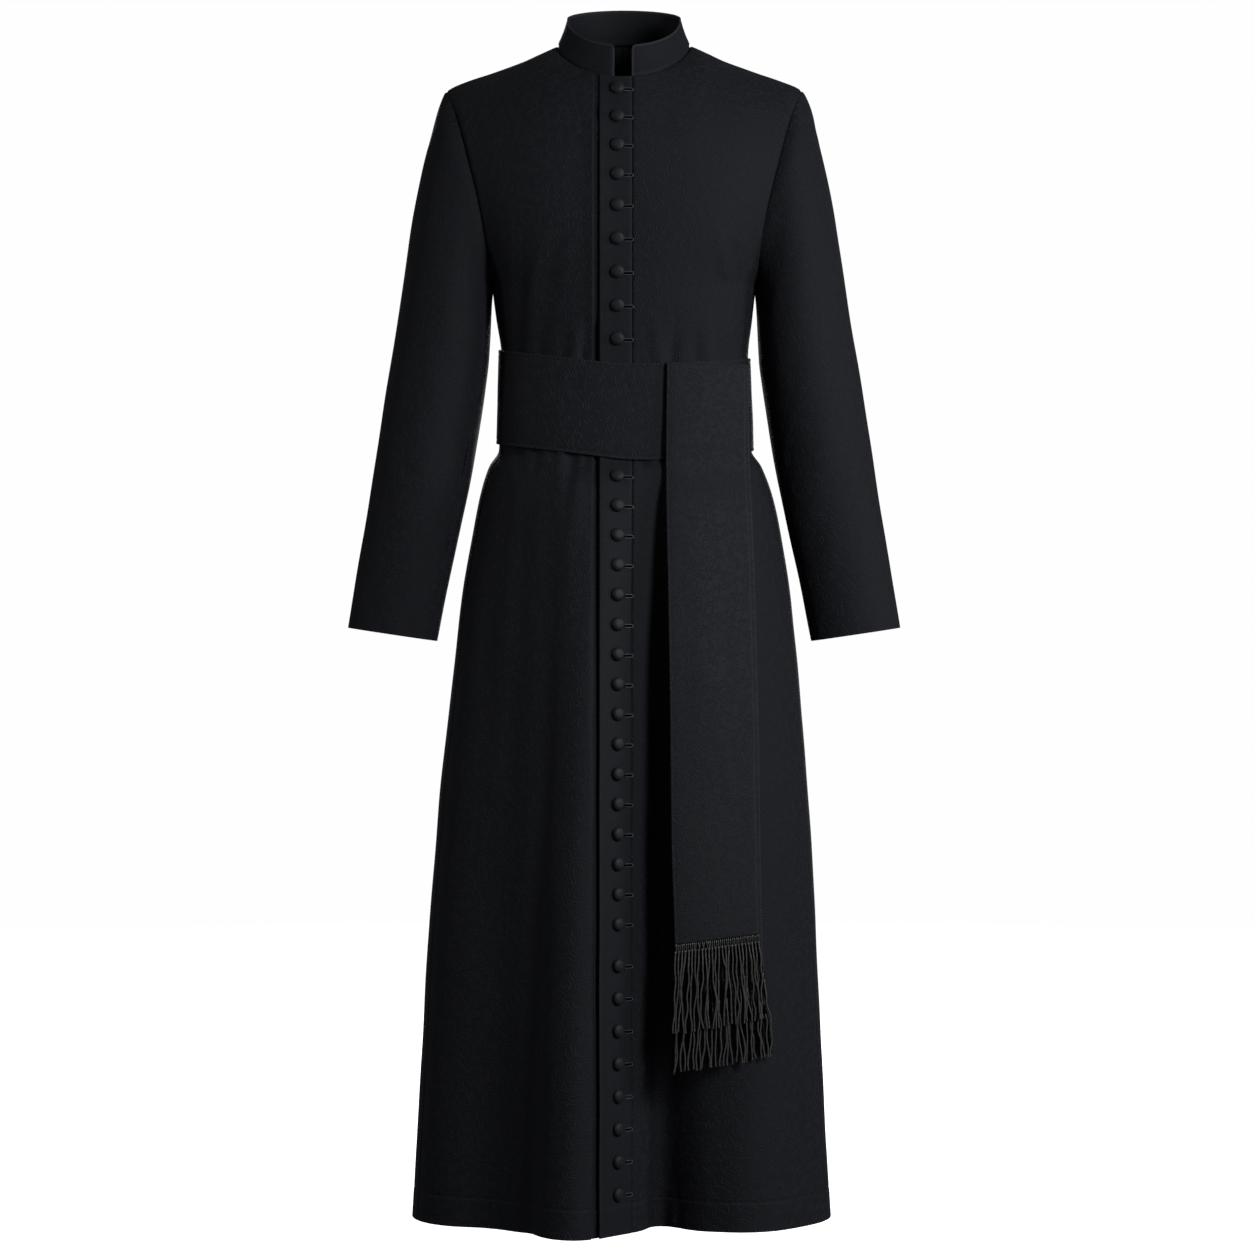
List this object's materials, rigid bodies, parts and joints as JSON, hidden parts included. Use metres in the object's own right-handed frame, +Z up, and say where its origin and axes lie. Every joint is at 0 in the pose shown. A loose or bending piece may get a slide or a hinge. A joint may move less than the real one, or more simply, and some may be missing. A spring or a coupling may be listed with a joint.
{
  "type": "cassock",
  "caption": "Full-length buttoned gown with a standing collar, long sleeves and a wide cincture with two fringed falls, open and hollow as worn.",
  "frame": {"origin": "middle of the neck base, level with the neck end of the shoulder seams, where the wearer's shoulders carry the garment", "axes": "+Z up, -Y the front with the buttons, +X the wearer's left, the side on which the cincture's falls hang"},
  "size_m": [0.6696, 0.4366, 1.4757],
  "materials": {
    "gown_cloth": "black worsted with a soft dry sheen and a faint crepe relief",
    "button_cloth": "black gown cloth stretched over a domed button mould",
    "cincture_cloth": "black ribbed faille with a low sheen",
    "fringe_silk": "black twisted silk strands"
  },
  "bodies": {
    "root": {"back": "gown_cloth", "front_left": "gown_cloth", "front_right": "gown_cloth", "placket": "gown_cloth", "collar": "gown_cloth", "sleeve_top_left": "gown_cloth", "sleeve_top_right": "gown_cloth", "sleeve_under_left": "gown_cloth", "sleeve_under_right": "gown_cloth", "button_01": "button_cloth", "button_02": "button_cloth", "button_03": "button_cloth", "button_04": "button_cloth", "button_05": "button_cloth", "button_06": "button_cloth", "button_07": "button_cloth", "button_08": "button_cloth", "button_09": "button_cloth", "button_10": "button_cloth", "button_11": "button_cloth", "button_12": "button_cloth", "button_13": "button_cloth", "button_14": "button_cloth", "button_15": "button_cloth", "button_16": "button_cloth", "button_17": "button_cloth", "button_18": "button_cloth", "button_19": "button_cloth", "button_20": "button_cloth", "button_21": "button_cloth", "button_22": "button_cloth", "button_23": "button_cloth", "button_24": "button_cloth", "button_25": "button_cloth", "button_26": "button_cloth", "button_27": "button_cloth", "button_28": "button_cloth", "button_29": "button_cloth", "button_30": "button_cloth", "button_31": "button_cloth", "button_32": "button_cloth", "button_33": "button_cloth", "cincture_band": "cincture_cloth", "fall_inner": "cincture_cloth", "fall_outer": "cincture_cloth", "fringe_inner": "fringe_silk", "fringe_outer": "fringe_silk"}
  },
  "joints": []
}
